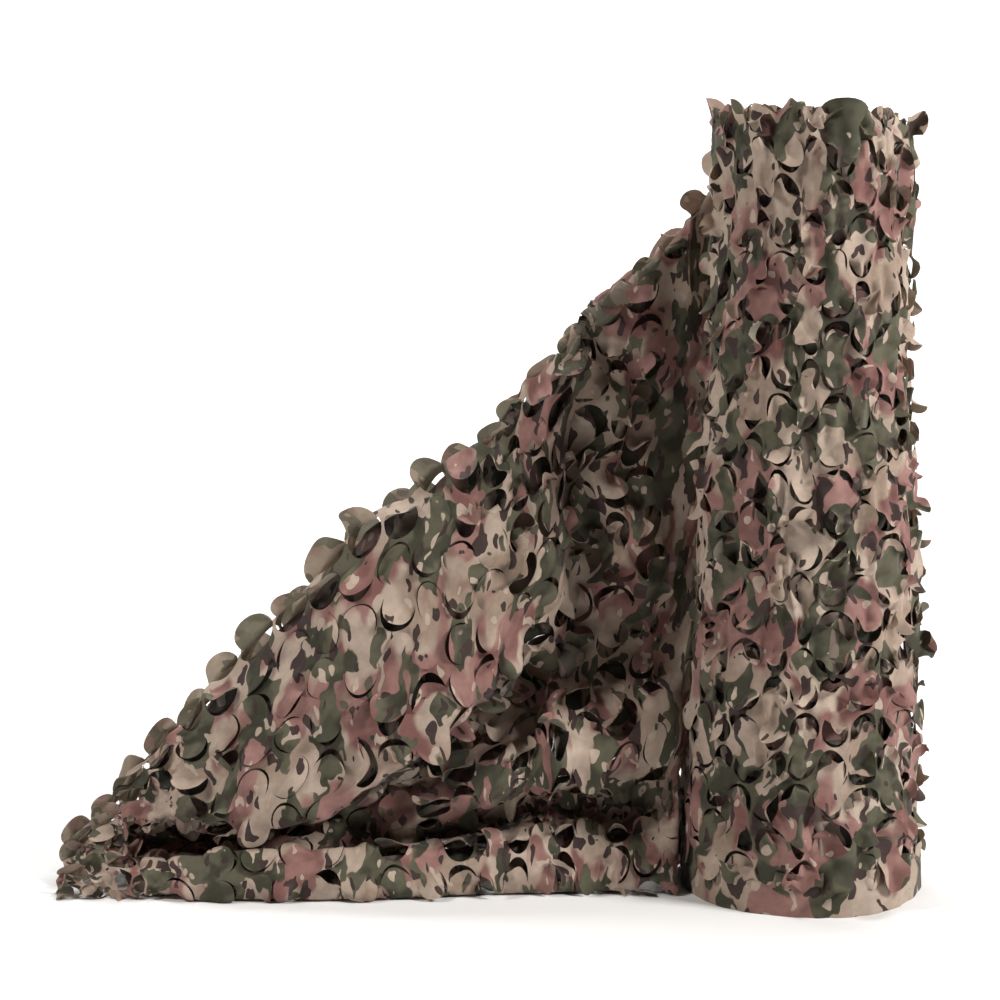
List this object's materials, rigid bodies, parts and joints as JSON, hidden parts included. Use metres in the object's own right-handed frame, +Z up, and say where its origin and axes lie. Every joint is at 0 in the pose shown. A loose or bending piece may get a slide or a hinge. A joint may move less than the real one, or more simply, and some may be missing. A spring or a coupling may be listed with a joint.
{
  "type": "camouflage net roll",
  "caption": "Camouflage net of leaf-cut cloth, wound on itself into a standing roll, with its loose end pulled out and slumped on the floor.",
  "frame": {"origin": "centre of the roll's round foot, on the floor", "axes": "+Z up along the roll's axis, -X towards the far end of the loose net, -Y the side that the folds open to"},
  "size_m": [1.6955, 0.6228, 1.5],
  "materials": {
    "net_roll": "matte",
    "loose_end": "matte"
  },
  "bodies": {
    "root": {"net_roll": "net_roll", "loose_end": "loose_end"}
  },
  "joints": []
}
